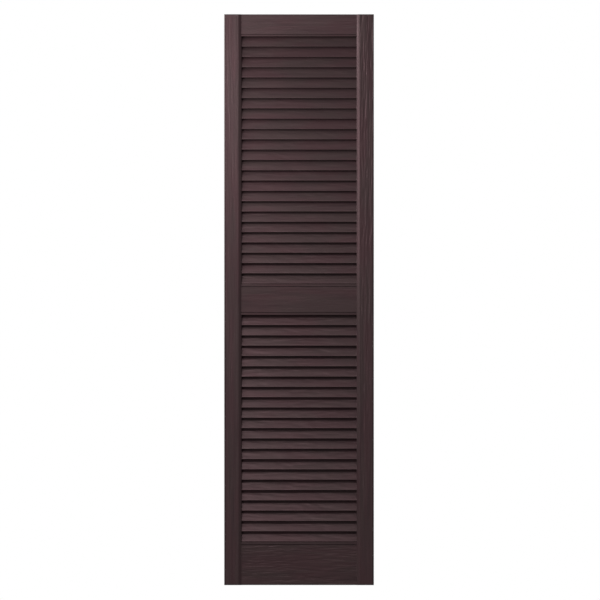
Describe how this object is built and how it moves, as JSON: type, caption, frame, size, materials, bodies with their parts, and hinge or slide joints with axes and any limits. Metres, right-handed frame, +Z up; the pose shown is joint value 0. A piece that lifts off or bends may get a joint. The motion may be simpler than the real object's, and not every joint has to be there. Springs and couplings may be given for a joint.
{
  "type": "louvred shutter",
  "caption": "Tall exterior shutter panel with fixed louvres in two fields between a frame of flat stiles and recessed rails, moulded in one piece with an open ribbed back.",
  "frame": {"origin": "centre of the back, in the plane of the rim and ribs that lie against the wall", "axes": "+Z up the panel's height, +X across its width, +Y out of the back towards the wall; the louvres face -Y"},
  "size_m": [0.3682, 0.028, 1.4056],
  "materials": {
    "panel": "satin dark burgundy brown plastic, moulded through, with an embossed wood grain: upright on the stiles, level on the rails and louvres"
  },
  "bodies": {
    "root": {"shutter_panel": "panel"}
  },
  "joints": []
}
